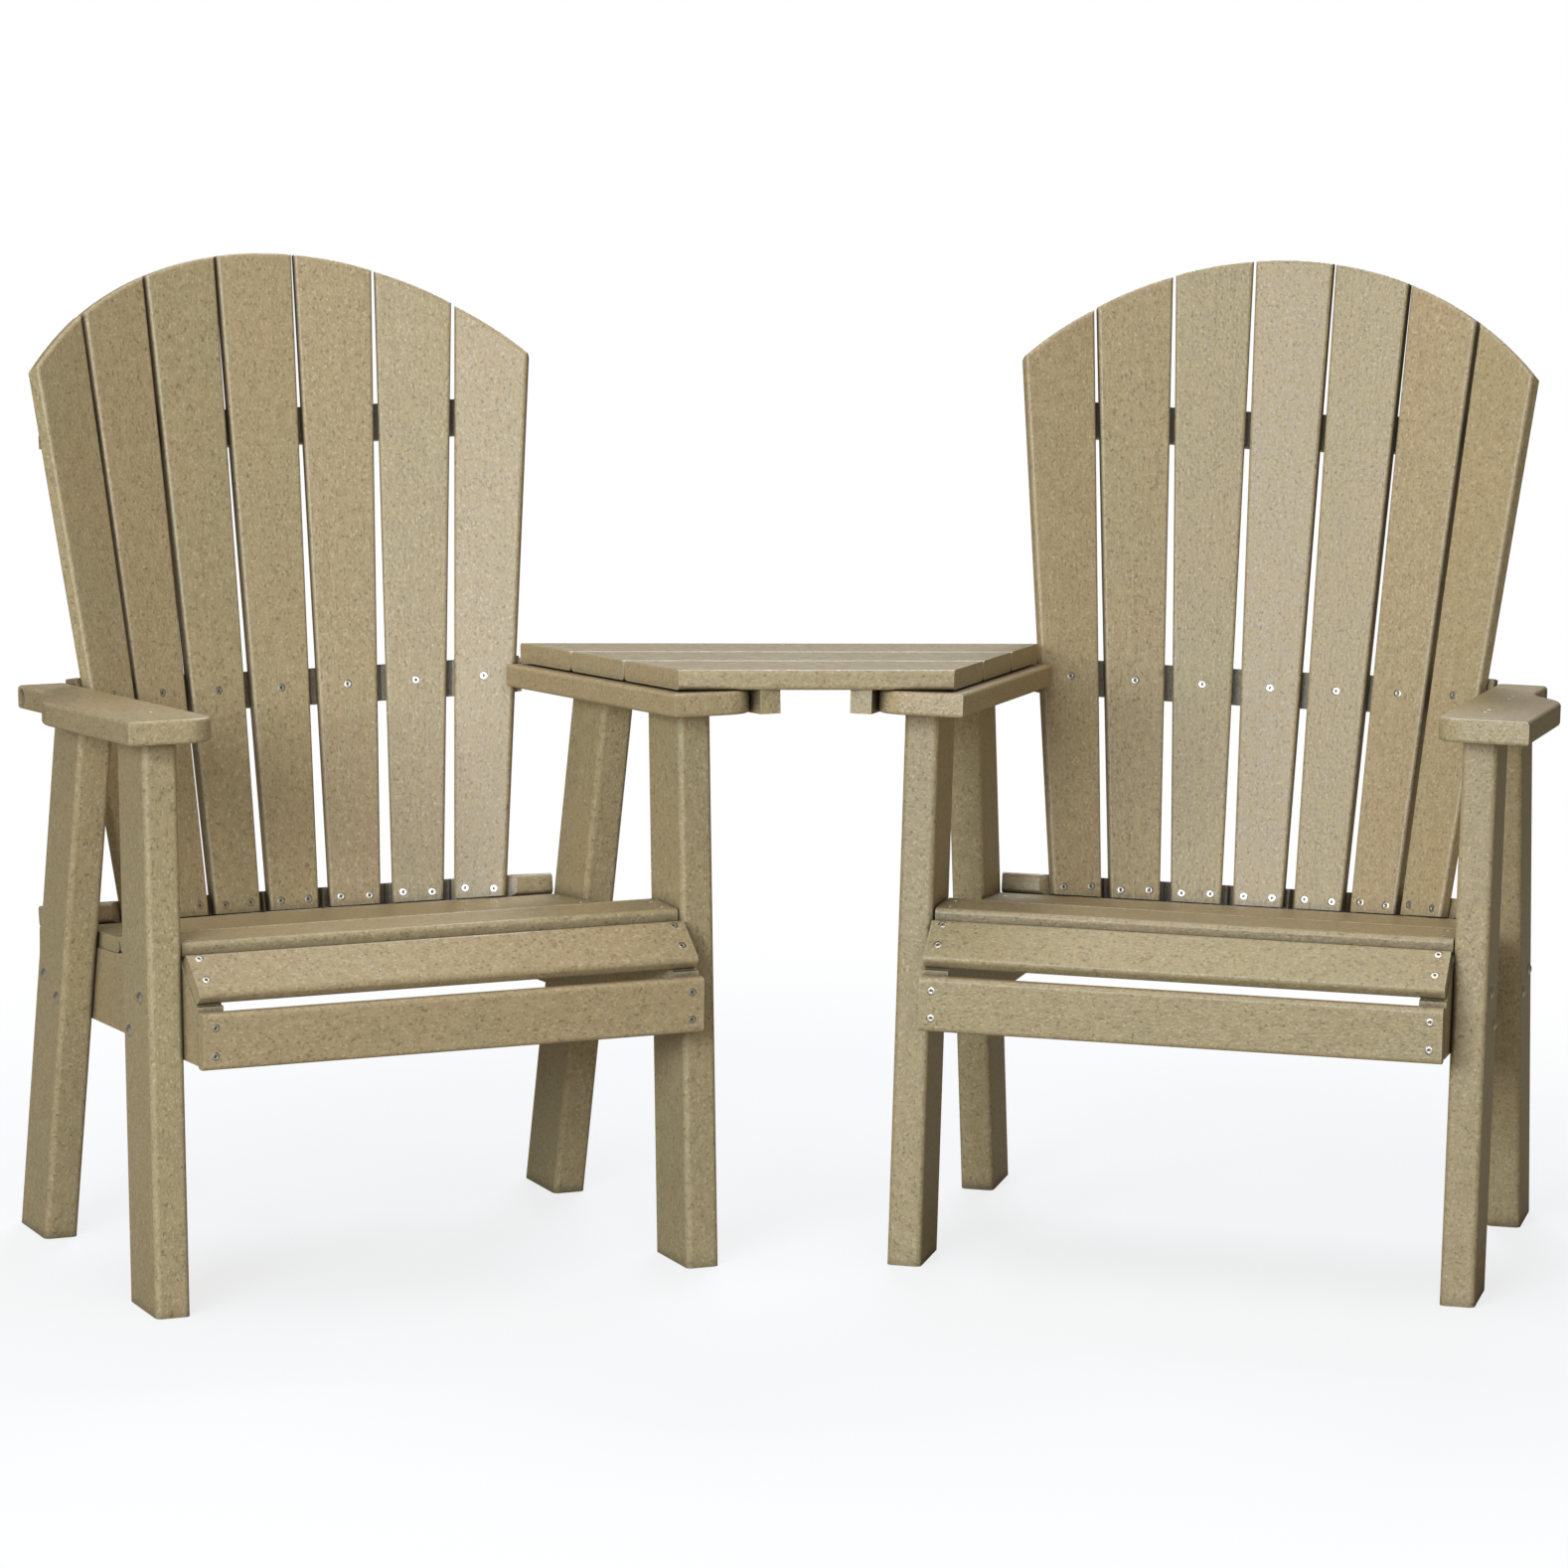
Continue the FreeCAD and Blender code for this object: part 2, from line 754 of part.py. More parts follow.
def drill(solid, holes):
    for hole in holes:
        if solid.BoundBox.intersect(hole.BoundBox):
            solid = solid.cut(hole)
    return solid


# Everything of one chair, in the chair's own frame, with the outer arm on the left

def chair():
    pieces = {
        "front_outer_leg": front_leg(-1),
        "front_inner_leg": front_leg(1),
        "rear_outer_leg": rear_leg(-1),
        "rear_inner_leg": rear_leg(1),
        "outer_side_rail": side_rail(-1),
        "inner_side_rail": side_rail(1),
        "apron": apron(),
        "seat_nosing": nosing(),
        "outer_arm": outer_arm(-1),
        "inner_arm": inner_arm(1),
        "lower_back_rail": lean_back(lower_back_rail()),
        "middle_back_rail": lean_back(middle_rail()),
        "top_back_rail": lean_back(top_rail()),
    }
    slats = seat_slat_lines()
    for number, slat in enumerate(slats[:-1], 1):
        pieces["seat_slat_" + str(number)] = seat_board(*slat)
    pieces["seat_end_slat"] = seat_board(*slats[-1])
    for number, index in enumerate(range(-slats_each_side, slats_each_side + 1), 1):
        pieces["back_slat_" + str(number)] = lean_back(back_slat(index))
    return pieces


def place_screws(places, length, clearance, recess):
    screws = []
    for position, direction in places:
        screws.append(point_along(wood_screw(length, clearance, recess), position, direction))
    return screws


def counterbore(place, diameter):
    position, direction = place
    return point_along(Part.makeCylinder(diameter / 2, counterbore_reach), position, direction)


def build_chair():
    pieces = chair()
    seat_places = seat_screw_places()
    back_places = back_screw_places()
    top_places = top_screw_places()
    arm_places = arm_screw_places()
    end_place = rail_end_screw_place()
    rail_reach = leg_thickness + side_rail_thickness
    bolt_length = rail_reach + washer_thickness + nut_height + bolt_tip
    fasteners = {
        "seat_screws": place_screws(seat_places, screw_length, 0, True),
        "back_slat_screws": place_screws(back_places, screw_length, 0, True),
        "top_rail_screws": place_screws(top_places, top_rail_screw_length, 0, True),
        "arm_screws": place_screws(arm_places + [end_place], arm_screw_length, 0, True),
        "leg_bolts": [],
        "leg_bolt_washers": [],
        "leg_bolt_nuts": [],
    }
    holes = place_screws(seat_places + back_places, screw_length, screw_clearance, False)
    holes += place_screws(top_places, top_rail_screw_length, screw_clearance, False)
    holes += place_screws(arm_places + [end_place], arm_screw_length, screw_clearance, False)
    for place in top_places:
        holes.append(counterbore(place, rail_counterbore_diameter))
    holes.append(counterbore(end_place, counterbore_diameter))
    bore_radius = bolt_diameter / 2 + bolt_clearance
    for position in bolt_places():
        side = math.copysign(1, position.x)
        outward = right * side
        inner_face = position - outward * rail_reach
        fasteners["leg_bolts"].append(point_along(carriage_bolt(bolt_length), position, outward))
        fasteners["leg_bolt_washers"].append(point_along(washer(), inner_face, outward * -1))
        nut_seat = inner_face - outward * washer_thickness
        fasteners["leg_bolt_nuts"].append(point_along(nut(), nut_seat, outward * -1))
        hole = Part.makeCylinder(bore_radius, 2 * rail_reach, vector(0, 0, -1.5 * rail_reach))
        holes.append(point_along(hole, position, outward))
    for name in pieces:
        pieces[name] = drill(pieces[name], holes)
    return pieces, fasteners


def place_left(shape):
    shape.rotate(base, up, chair_splay)
    shape.translate(vector(-chair_offset, 0, 0))
    return shape


# Table: boards side to side on the inner arms, and two cleats under them beside the arms

def in_bench(x, y):
    bench_x = x * cosine(chair_splay) - y * sine(chair_splay) - chair_offset
    bench_y = x * sine(chair_splay) + y * cosine(chair_splay)
    return bench_x, bench_y


table_slope = math.degrees(math.atan(tangent(arm_slope) / cosine(chair_splay)))
arm_far_side = inner_arm_inside + arm_width
table_touch_y = in_bench(arm_far_side, 0)[1]


def table_underside(y):
    return arm_top(0) + touching - tangent(table_slope) * (y - table_touch_y)


def table_outline():
    edge_x = inner_arm_inside + table_inset
    points = []
    depth = table_boards * table_board_width + (table_boards - 1) * table_board_gap
    rear = table_front + depth * cosine(table_slope) + table_thickness
    for y in (table_front - table_thickness, rear):
        chair_y = (y - edge_x * sine(chair_splay)) / cosine(chair_splay)
        points.append((in_bench(edge_x, chair_y)[0], y))
    (front_x, front_y), (rear_x, rear_y) = points
    return [(front_x, front_y), (-front_x, front_y), (-rear_x, rear_y), (rear_x, rear_y)]


def on_table_slope(shape):
    shape.rotate(base, right, -table_slope)
    shape.translate(vector(0, table_front, table_underside(table_front)))
    return shape


def table_board(index, holes):
    start = index * (table_board_width + table_board_gap)
    board = box(-long, long, start, start + table_board_width, 0, table_thickness)
    board = on_table_slope(round_along(board, right, table_board_radius))
    board = board.common(plan_view(table_outline(), 0, long))
    return drill(board, holes)


# The cleats run along the far sides of the inner arms, their tops against the table
def cleat():
    inside = arm_far_side + cleat_gap
    front = inner_arm_front
    rear = inner_arm_notch_start
    blank = box(inside, inside + cleat_width, front, rear, -cleat_height, cleat_height)
    blank.rotate(base, right, -arm_slope)
    blank.translate(vector(0, 0, arm_top(0)))
    place_left(blank)
    reach = long
    below_table = side_view([
        (table_front, -reach),
        (reach, -reach),
        (reach, table_underside(reach)),
        (table_front, table_underside(table_front)),
    ], -reach, reach)
    return blank.common(below_table)


def cleat_screw_places():
    places = []
    direction = vector(0, -sine(table_slope), -cosine(table_slope))
    middle = arm_far_side + cleat_gap + cleat_width / 2
    for index in range(table_boards):
        for offset in (-table_board_width / 4, table_board_width / 4):
            board_middle = index * (table_board_width + table_board_gap) + table_board_width / 2
            y = table_front + (board_middle + offset) * cosine(table_slope)
            chair_y = (y - middle * sine(chair_splay)) / cosine(chair_splay)
            x = in_bench(middle, chair_y)[0]
            z = table_underside(y) - cleat_height + screw_recess_depth
            places.append((vector(x, y, z), direction))
    return places


def mirrored(shape):
    return shape.mirror(base, right)


def build_bench():
    nodes = {}
    pieces, fasteners = build_chair()
    end_slat = place_left(pieces.pop("seat_end_slat"))
    nodes["seat_end_slats"] = [end_slat, mirrored(end_slat)]
    for name, shape in pieces.items():
        shape = place_left(shape)
        nodes["left_" + name] = [shape]
        nodes["right_" + name] = [mirrored(shape)]
    for name, shapes in fasteners.items():
        left = [place_left(shape) for shape in shapes]
        nodes[name] = left + [mirrored(shape) for shape in left]
    screws = place_screws(cleat_screw_places(), cleat_screw_length, 0, True)
    holes = place_screws(cleat_screw_places(), cleat_screw_length, screw_clearance, False)
    for place in cleat_screw_places():
        holes.append(counterbore(place, cleat_counterbore_diameter))
    holes += [mirrored(hole) for hole in holes]
    left_cleat = drill(cleat(), holes)
    nodes["left_table_cleat"] = [left_cleat]
    nodes["right_table_cleat"] = [mirrored(left_cleat)]
    nodes["cleat_screws"] = screws + [mirrored(screw) for screw in screws]
    for index in range(table_boards):
        nodes["table_board_" + str(index + 1)] = [table_board(index, holes)]
    return nodes


# The origin goes on the floor under the middle of the bench's outline
def centred(nodes):
    everything = Part.makeCompound([shape for shapes in nodes.values() for shape in shapes])
    bounds = everything.BoundBox
    middle = (bounds.YMin + bounds.YMax) / 2
    for shapes in nodes.values():
        for shape in shapes:
            shape.translate(vector(0, -middle, 0))
    return middle


os.makedirs("parts", exist_ok=True)
bench = build_bench()
shift = centred(bench)
print("origin is", round(shift, 3), "behind the front of the feet;", len(bench), "nodes")
for name, shapes in bench.items():
    solids = [solid for shape in shapes for solid in shape.Solids]
    whole = solids[0] if len(solids) == 1 else Part.makeCompound(solids)
    whole.exportStep("parts/" + name + ".step")
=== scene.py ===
import bpy
import bmesh
import math
import numpy as np
from mathutils import Matrix, Vector


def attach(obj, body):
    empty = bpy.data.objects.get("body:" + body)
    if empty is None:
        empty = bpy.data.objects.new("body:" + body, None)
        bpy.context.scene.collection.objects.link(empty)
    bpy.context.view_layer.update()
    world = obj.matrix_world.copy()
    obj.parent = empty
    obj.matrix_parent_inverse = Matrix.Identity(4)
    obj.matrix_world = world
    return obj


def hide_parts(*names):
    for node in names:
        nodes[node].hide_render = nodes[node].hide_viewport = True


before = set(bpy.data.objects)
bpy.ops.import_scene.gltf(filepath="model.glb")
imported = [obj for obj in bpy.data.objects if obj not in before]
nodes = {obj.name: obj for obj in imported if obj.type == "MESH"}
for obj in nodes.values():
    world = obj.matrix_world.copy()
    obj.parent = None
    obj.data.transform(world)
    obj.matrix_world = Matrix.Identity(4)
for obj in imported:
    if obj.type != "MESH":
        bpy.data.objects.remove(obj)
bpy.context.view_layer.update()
scene = bpy.context.scene
scene.view_settings.view_transform = "Standard"
print("frame loaded,", len(nodes), "nodes")

screwNodes = ["seat_screws", "back_slat_screws", "top_rail_screws", "arm_screws", "cleat_screws"]
boltNodes = ["leg_bolts", "leg_bolt_washers", "leg_bolt_nuts"]
boardNodes = [name for name in sorted(nodes) if name not in screwNodes + boltNodes]


# helpers for node trees
def addNode(tree, kind, at, **settings):
    node = tree.nodes.new(kind)
    node.location = at
    for key, value in settings.items():
        setattr(node, key, value)
    return node


def setInputs(node, values):
    for key, value in values.items():
        node.inputs[key].default_value = value


def newGroup(name, kind, inputs, outputs):
    group = bpy.data.node_groups.new(name, kind)
    for label, socketKind, value in inputs:
        socket = group.interface.new_socket(label, in_out="INPUT", socket_type=socketKind)
        if value is not None:
            socket.default_value = value
    for label, socketKind in outputs:
        group.interface.new_socket(label, in_out="OUTPUT", socket_type=socketKind)
    groupIn = addNode(group, "NodeGroupInput", (-1100, 0))
    groupOut = addNode(group, "NodeGroupOutput", (1100, 0))
    return group, groupIn, groupOut


def useGroup(tree, group, at, values=None):
    node = addNode(tree, "ShaderNodeGroup", at, node_tree=group)
    setInputs(node, values or {})
    return node


def newMaterial(name):
    material = bpy.data.materials.new(name)
    material.use_nodes = True
    material.node_tree.nodes.clear()
    return material, material.node_tree


# a number or colour is set on the socket, anything else is linked to it
def feed(tree, value, socket):
    if isinstance(value, (int, float, tuple)):
        socket.default_value = value
    else:
        tree.links.new(value, socket)


def addMath(tree, operation, at, *values, clamp=False):
    node = addNode(tree, "ShaderNodeMath", at, operation=operation, use_clamp=clamp)
    for index, value in enumerate(values):
        feed(tree, value, node.inputs[index])
    return node.outputs[0]


def mixColour(tree, at, amount, first, second):
    node = addNode(tree, "ShaderNodeMix", at, data_type="RGBA")
    for index, value in ((0, amount), (6, first), (7, second)):  # the colour sockets are 6 and 7
        feed(tree, value, node.inputs[index])
    return node.outputs[2]


def readAttribute(tree, at, kind, name, output):
    node = addNode(tree, "ShaderNodeAttribute", at, attribute_type=kind, attribute_name=name)
    return node.outputs[output]


def addGloss(tree, at, source, roughness, shader):
    gloss = addNode(tree, "ShaderNodeMapRange", at)
    tree.links.new(source, gloss.inputs["Value"])
    gloss.inputs["To Min"].default_value, gloss.inputs["To Max"].default_value = roughness
    tree.links.new(gloss.outputs[0], shader.inputs["Roughness"])


def addBump(tree, at, height, strength, distance, shader):
    bump = addNode(tree, "ShaderNodeBump", at)
    setInputs(bump, {"Strength": strength, "Distance": distance})
    tree.links.new(height, bump.inputs["Height"])
    tree.links.new(bump.outputs[0], shader.inputs["Normal"])


# board directions: the grain runs along each board, whichever way it is turned
boardLook = {
    "seedStep": 0.618034,  # from one board's seed to the next, wrapped at 1
    "patternShift": (17.0, 9.0, 5.0),  # metres for a whole seed: no two boards share a stretch of pattern
}


def boardFrame(mesh):
    count = len(mesh.polygons)
    centres = np.zeros(count * 3)
    areas = np.zeros(count)
    mesh.polygons.foreach_get("center", centres)
    mesh.polygons.foreach_get("area", areas)
    centres = centres.reshape(-1, 3)
    middle = (centres * areas[:, None]).sum(0) / areas.sum()
    spread = (centres - middle).T @ ((centres - middle) * areas[:, None])
    turned = np.linalg.eigh(spread)[1]
    return Vector(turned[:, 2]), Vector(turned[:, 1])


for index, name in enumerate(boardNodes):
    along, across = boardFrame(nodes[name].data)
    nodes[name]["boardAlong"] = list(along)
    nodes[name]["boardAcross"] = list(across)
    nodes[name]["boardSeed"] = (index * boardLook["seedStep"]) % 1.0


# shared shader groups
def makeBoardSpace():
    group, groupIn, groupOut = newGroup(
        "boardSpace", "ShaderNodeTree",
        [("Position", "NodeSocketVector", None)],
        [("Board", "NodeSocketVector"), ("Seed", "NodeSocketFloat")],
    )
    along = readAttribute(group, (-900, 300), "OBJECT", "boardAlong", "Vector")
    across = readAttribute(group, (-900, 120), "OBJECT", "boardAcross", "Vector")
    seed = readAttribute(group, (-900, -200), "OBJECT", "boardSeed", "Fac")
    depth = addNode(group, "ShaderNodeVectorMath", (-600, 120), operation="CROSS_PRODUCT")
    group.links.new(along, depth.inputs[0])
    group.links.new(across, depth.inputs[1])
    joined = addNode(group, "ShaderNodeCombineXYZ", (0, 100))
    for index, source in enumerate((along, across, depth.outputs["Vector"])):
        dot = addNode(group, "ShaderNodeVectorMath", (-300, 250 - 180 * index), operation="DOT_PRODUCT")
        group.links.new(groupIn.outputs["Position"], dot.inputs[0])
        group.links.new(source, dot.inputs[1])
        group.links.new(dot.outputs["Value"], joined.inputs[index])
    shift = addNode(group, "ShaderNodeVectorMath", (300, 100), operation="MULTIPLY_ADD")
    group.links.new(seed, shift.inputs[0])
    shift.inputs[1].default_value = boardLook["patternShift"]
    group.links.new(joined.outputs[0], shift.inputs[2])
    group.links.new(shift.outputs[0], groupOut.inputs["Board"])
    group.links.new(seed, groupOut.inputs["Seed"])
    return group


edgeLook = {
    "samples": 4,
    "contrast": 6.0,  # how fast the painted highlight fades away from an edge
}


# painted highlight: a mask that is 1 on rounded edges, where the bevelled normal turns away from the face's
def makePaintedEdgeHighlight():
    group, groupIn, groupOut = newGroup(
        "paintedEdgeHighlight", "ShaderNodeTree",
        [("Width", "NodeSocketFloat", 0.002), ("Amount", "NodeSocketFloat", 1.0)],
        [("Mask", "NodeSocketFloat")],
    )
    bevel = addNode(group, "ShaderNodeBevel", (-600, 0), samples=edgeLook["samples"])
    group.links.new(groupIn.outputs["Width"], bevel.inputs["Radius"])
    geometry = addNode(group, "ShaderNodeNewGeometry", (-600, -200))
    dot = addNode(group, "ShaderNodeVectorMath", (-300, 0), operation="DOT_PRODUCT")
    group.links.new(bevel.outputs[0], dot.inputs[0])
    group.links.new(geometry.outputs["Normal"], dot.inputs[1])
    turned = addMath(group, "SUBTRACT", (0, 0), 1.0, dot.outputs["Value"])
    mask = addMath(group, "MULTIPLY", (300, 0), turned, edgeLook["contrast"], clamp=True)
    scaled = addMath(group, "MULTIPLY", (600, 0), mask, groupIn.outputs["Amount"])
    group.links.new(scaled, groupOut.inputs["Mask"])
    return group


def makeStretchedNoise():
    group, groupIn, groupOut = newGroup(
        "stretchedNoise", "ShaderNodeTree",
        [("Board", "NodeSocketVector", None), ("Stretch", "NodeSocketVector", (1.0, 1.0, 1.0)),
         ("Scale", "NodeSocketFloat", 100.0), ("Detail", "NodeSocketFloat", 2.0),
         ("From", "NodeSocketFloat", 0.3), ("To", "NodeSocketFloat", 0.7)],
        [("Value", "NodeSocketFloat")],
    )
    scaled = addNode(group, "ShaderNodeVectorMath", (-600, 100), operation="MULTIPLY")
    group.links.new(groupIn.outputs["Board"], scaled.inputs[0])
    group.links.new(groupIn.outputs["Stretch"], scaled.inputs[1])
    noise = addNode(group, "ShaderNodeTexNoise", (-300, 100))
    group.links.new(scaled.outputs[0], noise.inputs["Vector"])
    group.links.new(groupIn.outputs["Scale"], noise.inputs["Scale"])
    group.links.new(groupIn.outputs["Detail"], noise.inputs["Detail"])
    spread = addNode(group, "ShaderNodeMapRange", (300, 100))
    group.links.new(noise.outputs["Fac"], spread.inputs["Value"])
    group.links.new(groupIn.outputs["From"], spread.inputs["From Min"])
    group.links.new(groupIn.outputs["To"], spread.inputs["From Max"])
    group.links.new(spread.outputs[0], groupOut.inputs["Value"])
    return group


boardSpace = makeBoardSpace()
paintedEdgeHighlight = makePaintedEdgeHighlight()
stretchedNoise = makeStretchedNoise()


# poly lumber: through-coloured plastic board, finely mottled, with a slight orange peel; painted highlight
# on its edges, painted shade in its gaps
lumberLook = {
    "brown": (0.446, 0.311, 0.159, 1.0),
    "olive": (0.412, 0.319, 0.162, 1.0),
    "lightFleck": (0.620, 0.520, 0.350, 1.0),
    "darkFleck": (0.150, 0.105, 0.042, 1.0),
    # pale tone of the grain streaks, and of the painted highlight on the edges
    "grainAndEdgeHighlight": (0.540, 0.450, 0.290, 1.0),
    # painted shade in gaps, seams and inner corners
    "paintedShade": (0.060, 0.046, 0.026, 1.0),
    "boardTint": 0.8,  # how far one board's colour may lie from the next, against the clouds in a board
    "tintGain": 0.6,
    "blotchShade": (0.16, 0.92),  # span and lowest value of the brightness
    "grainAmount": 0.12,
    "fleckAmount": 0.66,
    "pitAmount": 0.70,
    "paintedEdgeHighlight": {"Width": 0.004, "Amount": 0.55},
    "paintedShadeReach": 0.018,  # metres from a neighbouring surface
    "paintedShadeSamples": 6,
    "paintedShadeStart": 0.85,  # openness below which the painted shade begins
    "paintedShadeGain": 1.6,
    "paintedShadeAmount": 0.85,
    "roughness": (0.33, 0.43),
    "specular": 0.40,
    "grainRelief": 0.3,  # share of the grain in the height of the surface
    "bumpHeight": 0.00034,
}

# patterns in each board, most of them drawn out along its grain
lumberLayers = {
    "blotch": {"Scale": 95.0, "Detail": 3.0, "From": 0.34, "To": 0.66},
    "clouds": {"Stretch": (1.0, 1.8, 1.8), "Scale": 6.0, "Detail": 3.0, "From": 0.3, "To": 0.7},
    "grain": {"Stretch": (1.0, 16.0, 16.0), "Scale": 12.0, "Detail": 4.0, "From": 0.35, "To": 0.7},
    "fleck": {"Stretch": (0.8, 1.0, 1.0), "Scale": 350.0, "Detail": 2.0, "From": 0.55, "To": 0.72},
    "pit": {"Stretch": (0.8, 1.0, 1.0), "Scale": 290.0, "Detail": 3.0, "From": 0.55, "To": 0.74},
    "relief": {"Stretch": (0.65, 1.0, 1.0), "Scale": 300.0, "Detail": 4.0, "From": 0.25, "To": 0.75},
}


def makeLumber():
    look = lumberLook
    material, tree = newMaterial("polyLumber")
    output = addNode(tree, "ShaderNodeOutputMaterial", (1500, 0))
    shader = addNode(tree, "ShaderNodeBsdfPrincipled", (1200, 0))
    shader.inputs["Specular IOR Level"].default_value = look["specular"]
    tree.links.new(shader.outputs[0], output.inputs["Surface"])
    place = addNode(tree, "ShaderNodeTexCoord", (-1500, 0))
    space = useGroup(tree, boardSpace, (-1300, 0))
    tree.links.new(place.outputs["Object"], space.inputs["Position"])
    layers = {}
    for index, (name, values) in enumerate(lumberLayers.items()):
        node = useGroup(tree, stretchedNoise, (-1000, 750 - 250 * index), values)
        tree.links.new(space.outputs["Board"], node.inputs["Board"])
        layers[name] = node.outputs["Value"]

    # base colour: brown to olive, a little different in each board
    boardTint = addMath(tree, "MULTIPLY", (-900, 900), space.outputs["Seed"], look["boardTint"])
    tint = addMath(tree, "ADD", (-700, 600), layers["clouds"], boardTint)
    tint = addMath(tree, "MULTIPLY", (-500, 600), tint, look["tintGain"], clamp=True)
    colour = mixColour(tree, (-300, 500), tint, look["brown"], look["olive"])
    shade = addMath(tree, "MULTIPLY_ADD", (-500, 800), layers["blotch"], *look["blotchShade"])
    value = addNode(tree, "ShaderNodeHueSaturation", (-200, 700))
    tree.links.new(shade, value.inputs["Value"])
    tree.links.new(colour, value.inputs["Color"])
    colour = value.outputs["Color"]

    # grain, light flecks and dark pits
    marks = (("grain", "grainAndEdgeHighlight"), ("fleck", "lightFleck"), ("pit", "darkFleck"))
    for index, (layer, tone) in enumerate(marks):
        amount = addMath(tree, "MULTIPLY", (-500 + 200 * index, 300 - 200 * index),
                         layers[layer], look[layer + "Amount"], clamp=True)
        colour = mixColour(tree, (-100 + 200 * index, 400 - 100 * index), amount, colour, look[tone])

    # painted highlight on the edges, then painted shade in the gaps and seams
    # painted highlight: the edges made paler
    grainAndEdgeHighlight = useGroup(tree, paintedEdgeHighlight, (100, -100), look["paintedEdgeHighlight"])
    colour = mixColour(tree, (500, 100), grainAndEdgeHighlight.outputs["Mask"], colour, look["grainAndEdgeHighlight"])
    # painted shade: darker where neighbouring surfaces close in
    hollow = addNode(tree, "ShaderNodeAmbientOcclusion", (300, 500), samples=look["paintedShadeSamples"])
    hollow.inputs["Distance"].default_value = look["paintedShadeReach"]
    closed = addMath(tree, "SUBTRACT", (500, 500), look["paintedShadeStart"], hollow.outputs["AO"])
    paintedShade = addMath(tree, "MULTIPLY", (700, 500), closed, look["paintedShadeGain"], clamp=True)
    paintedShade = addMath(tree, "MULTIPLY", (800, 400), paintedShade, look["paintedShadeAmount"])
    colour = mixColour(tree, (900, 200), paintedShade, colour, look["paintedShade"])
    tree.links.new(colour, shader.inputs["Base Color"])

    addGloss(tree, (500, -200), layers["blotch"], look["roughness"], shader)
    height = addMath(tree, "MULTIPLY_ADD", (500, -400),
                     layers["grain"], look["grainRelief"], layers["relief"])
    addBump(tree, (800, -400), height, 1.0, look["bumpHeight"], shader)
    return material


# stainless fasteners, with painted highlight on their edges and painted shade in their recesses
steelLook = {
    "bright": (0.90, 0.84, 0.74, 1.0),
    "dull": (0.62, 0.55, 0.44, 1.0),
    # painted shade at the bottom of each recess
    "recessShade": (0.16, 0.13, 0.09, 1.0),
    "roughness": (0.28, 0.46),
    "smudge": {"Scale": 420.0, "Detail": 3.0},
    "paintedEdgeHighlight": {"Width": 0.0005, "Amount": 0.5},
    "bumpStrength": 0.4,
    "bumpHeight": 0.0001,
}


def makeSteel():
    look = steelLook
    material, tree = newMaterial("stainlessSteel")
    output = addNode(tree, "ShaderNodeOutputMaterial", (1100, 0))
    shader = addNode(tree, "ShaderNodeBsdfPrincipled", (800, 0))
    shader.inputs["Metallic"].default_value = 1.0
    tree.links.new(shader.outputs[0], output.inputs["Surface"])
    place = addNode(tree, "ShaderNodeTexCoord", (-900, 0))
    smudge = addNode(tree, "ShaderNodeTexNoise", (-600, 100))
    setInputs(smudge, look["smudge"])
    tree.links.new(place.outputs["Object"], smudge.inputs["Vector"])
    smudged = smudge.outputs["Fac"]
    colour = mixColour(tree, (0, 200), smudged, look["dull"], look["bright"])
    sunk = readAttribute(tree, (-300, 400), "GEOMETRY", "sunk", "Fac")  # 1 at the bottom of the recess
    # painted shade: the bottom of the recess darkened
    colour = mixColour(tree, (300, 200), sunk, colour, look["recessShade"])
    # painted highlight: the edges made brighter
    grainAndEdgeHighlight = useGroup(tree, paintedEdgeHighlight, (0, -500), look["paintedEdgeHighlight"])
    colour = mixColour(tree, (500, 200), grainAndEdgeHighlight.outputs["Mask"], colour, look["bright"])
    tree.links.new(colour, shader.inputs["Base Color"])
    addGloss(tree, (0, -100), smudged, look["roughness"], shader)
    addBump(tree, (500, -300), smudged, look["bumpStrength"], look["bumpHeight"], shader)
    return material


def wear(piece, material):
    if not piece.material_slots:
        piece.data.materials.append(material)
    for slot in piece.material_slots:
        slot.material = material


polyLumber = makeLumber()
stainlessSteel = makeSteel()
for name in boardNodes:
    wear(nodes[name], polyLumber)
print("boards finished:", len(boardNodes))


# fasteners: where each one sits is read from its solid, its shape is turned from a profile
fastenerLook = {
    "mergeReach": 0.00002,
    "endShare": 0.25,  # part of the length in which the head is looked for
    "tipReach": 0.004,
    "seed": 7,
}


# the points of each solid in a fastener node, always in the same order
def fastenerSolids(node):
    merged = bmesh.new()
    merged.from_mesh(node.data)
    bmesh.ops.remove_doubles(merged, verts=merged.verts, dist=fastenerLook["mergeReach"])
    merged.verts.index_update()
    seen = set()
    found = []
    for start in merged.verts:
        if start.index in seen:
            continue
        seen.add(start.index)
        island = [start]
        for vert in island:  # the list grows while it is walked
            for edge in vert.link_edges:
                other = edge.other_vert(vert)
                if other.index not in seen:
                    seen.add(other.index)
                    island.append(other)
        found.append(np.array([vert.co[:] for vert in island]))
    merged.free()
    return found


